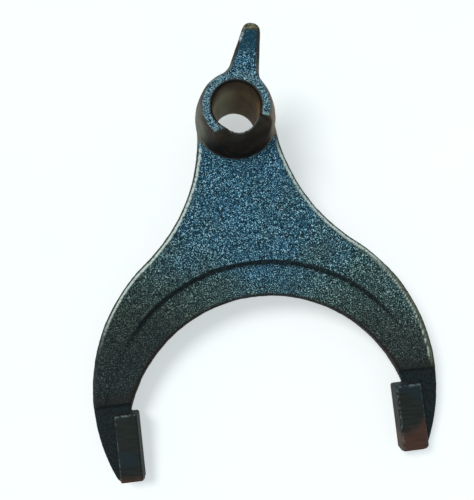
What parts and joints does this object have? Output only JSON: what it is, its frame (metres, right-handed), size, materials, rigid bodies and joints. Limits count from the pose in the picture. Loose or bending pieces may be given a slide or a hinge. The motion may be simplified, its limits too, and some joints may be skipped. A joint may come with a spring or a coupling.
{
  "type": "shift fork",
  "caption": "Cast iron gearbox shift fork with a barrel boss for its rail, a selector finger and two machined pads on its arms.",
  "frame": {"origin": "on the axis of the rail's bore, at the boss's lower end", "axes": "+Z along the bore towards the selector finger's end of the boss; the fork's arms reach towards -Y, level with the plate's parting plane at z = 17.5 mm; +X to the right seen from above"},
  "size_m": [0.12, 0.1495, 0.037],
  "materials": {
    "cast_iron": "sand-cast, dark blue-grey, machined in the bore and on the pads"
  },
  "bodies": {
    "root": {"shift_fork": "cast_iron"}
  },
  "joints": []
}
